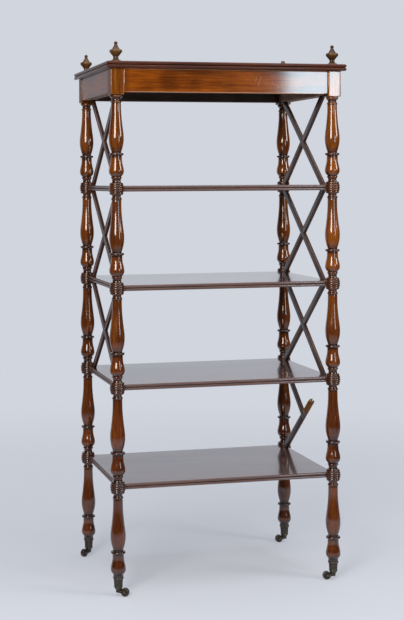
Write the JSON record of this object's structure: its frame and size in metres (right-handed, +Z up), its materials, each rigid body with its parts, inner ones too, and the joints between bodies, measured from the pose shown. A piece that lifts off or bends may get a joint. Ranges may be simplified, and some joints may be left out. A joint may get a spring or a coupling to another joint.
{
  "type": "whatnot bookcase",
  "caption": "Tall open whatnot with turned uprights, reeded shelves, a moulded top on a frieze, crossed side bars, urn finials and swivelling brass socket castors.",
  "frame": {"origin": "on the floor under the centre of the top board's plan", "axes": "+Z up, -Y out of the front, +X to the right as seen from the front"},
  "size_m": [0.66, 0.436, 1.448],
  "materials": {
    "top_mahogany": "polished",
    "shelf_mahogany": "polished",
    "frieze_mahogany": "polished",
    "turned_mahogany": "polished",
    "bar_mahogany": "satin",
    "finial_wood": "polished",
    "castor_brass": "tarnished"
  },
  "bodies": {
    "frame": {"top_board": "top_mahogany", "castor_screws": "castor_brass", "shelf_1": "shelf_mahogany", "shelf_2": "shelf_mahogany", "shelf_3": "shelf_mahogany", "shelf_4": "shelf_mahogany", "front_rail": "frieze_mahogany", "back_rail": "frieze_mahogany", "left_rail": "frieze_mahogany", "right_rail": "frieze_mahogany", "front_left_post_1": "turned_mahogany", "front_left_post_2": "turned_mahogany", "front_left_post_3": "turned_mahogany", "front_left_post_4": "turned_mahogany", "front_left_leg": "turned_mahogany", "front_left_finial": "finial_wood", "front_left_castor_socket": "castor_brass", "front_right_post_1": "turned_mahogany", "front_right_post_2": "turned_mahogany", "front_right_post_3": "turned_mahogany", "front_right_post_4": "turned_mahogany", "front_right_leg": "turned_mahogany", "front_right_finial": "finial_wood", "front_right_castor_socket": "castor_brass", "back_left_post_1": "turned_mahogany", "back_left_post_2": "turned_mahogany", "back_left_post_3": "turned_mahogany", "back_left_post_4": "turned_mahogany", "back_left_leg": "turned_mahogany", "back_left_finial": "finial_wood", "back_left_castor_socket": "castor_brass", "back_right_post_1": "turned_mahogany", "back_right_post_2": "turned_mahogany", "back_right_post_3": "turned_mahogany", "back_right_post_4": "turned_mahogany", "back_right_leg": "turned_mahogany", "back_right_finial": "finial_wood", "back_right_castor_socket": "castor_brass", "left_bar_1_rising": "bar_mahogany", "left_bar_1_falling": "bar_mahogany", "left_bar_2_rising": "bar_mahogany", "left_bar_2_falling": "bar_mahogany", "left_bar_3_rising": "bar_mahogany", "left_bar_3_falling": "bar_mahogany", "right_bar_1_rising": "bar_mahogany", "right_bar_1_falling": "bar_mahogany", "right_bar_2_rising": "bar_mahogany", "right_bar_2_falling": "bar_mahogany", "right_bar_3_rising": "bar_mahogany", "right_bar_3_falling": "bar_mahogany", "right_bar_4_rising": "bar_mahogany", "right_bar_4_falling": "bar_mahogany"},
    "front_left_castor": {"front_left_castor_horn": "castor_brass"},
    "front_left_wheel": {"front_left_castor_wheel": "castor_brass"},
    "front_right_castor": {"front_right_castor_horn": "castor_brass"},
    "front_right_wheel": {"front_right_castor_wheel": "castor_brass"},
    "back_left_castor": {"back_left_castor_horn": "castor_brass"},
    "back_left_wheel": {"back_left_castor_wheel": "castor_brass"},
    "back_right_castor": {"back_right_castor_horn": "castor_brass"},
    "back_right_wheel": {"back_right_castor_wheel": "castor_brass"}
  },
  "joints": [
    {"name": "front_left_castor_swivel", "type": "hinge", "parent": "frame", "child": "front_left_castor", "pos_m": [-0.3, -0.188, 0.0205], "axis": [0, 0, 1], "continuous": true},
    {"name": "front_left_wheel_roll", "type": "hinge", "parent": "front_left_castor", "child": "front_left_wheel", "pos_m": [-0.28444, -0.1989, 0.011], "axis": [0.5736, 0.8192, 0], "continuous": true},
    {"name": "front_right_castor_swivel", "type": "hinge", "parent": "frame", "child": "front_right_castor", "pos_m": [0.3, -0.188, 0.0205], "axis": [0, 0, 1], "continuous": true},
    {"name": "front_right_wheel_roll", "type": "hinge", "parent": "front_right_castor", "child": "front_right_wheel", "pos_m": [0.281, -0.188, 0.011], "axis": [0, -1, 0], "continuous": true},
    {"name": "back_left_castor_swivel", "type": "hinge", "parent": "frame", "child": "back_left_castor", "pos_m": [-0.3, 0.188, 0.0205], "axis": [0, 0, 1], "continuous": true},
    {"name": "back_left_wheel_roll", "type": "hinge", "parent": "back_left_castor", "child": "back_left_wheel", "pos_m": [-0.31556, 0.1771, 0.011], "axis": [0.5736, -0.8192, 0], "continuous": true},
    {"name": "back_right_castor_swivel", "type": "hinge", "parent": "frame", "child": "back_right_castor", "pos_m": [0.3, 0.188, 0.0205], "axis": [0, 0, 1], "continuous": true},
    {"name": "back_right_wheel_roll", "type": "hinge", "parent": "back_right_castor", "child": "back_right_wheel", "pos_m": [0.28129, 0.1847, 0.011], "axis": [0.1736, -0.9848, 0], "continuous": true}
  ]
}
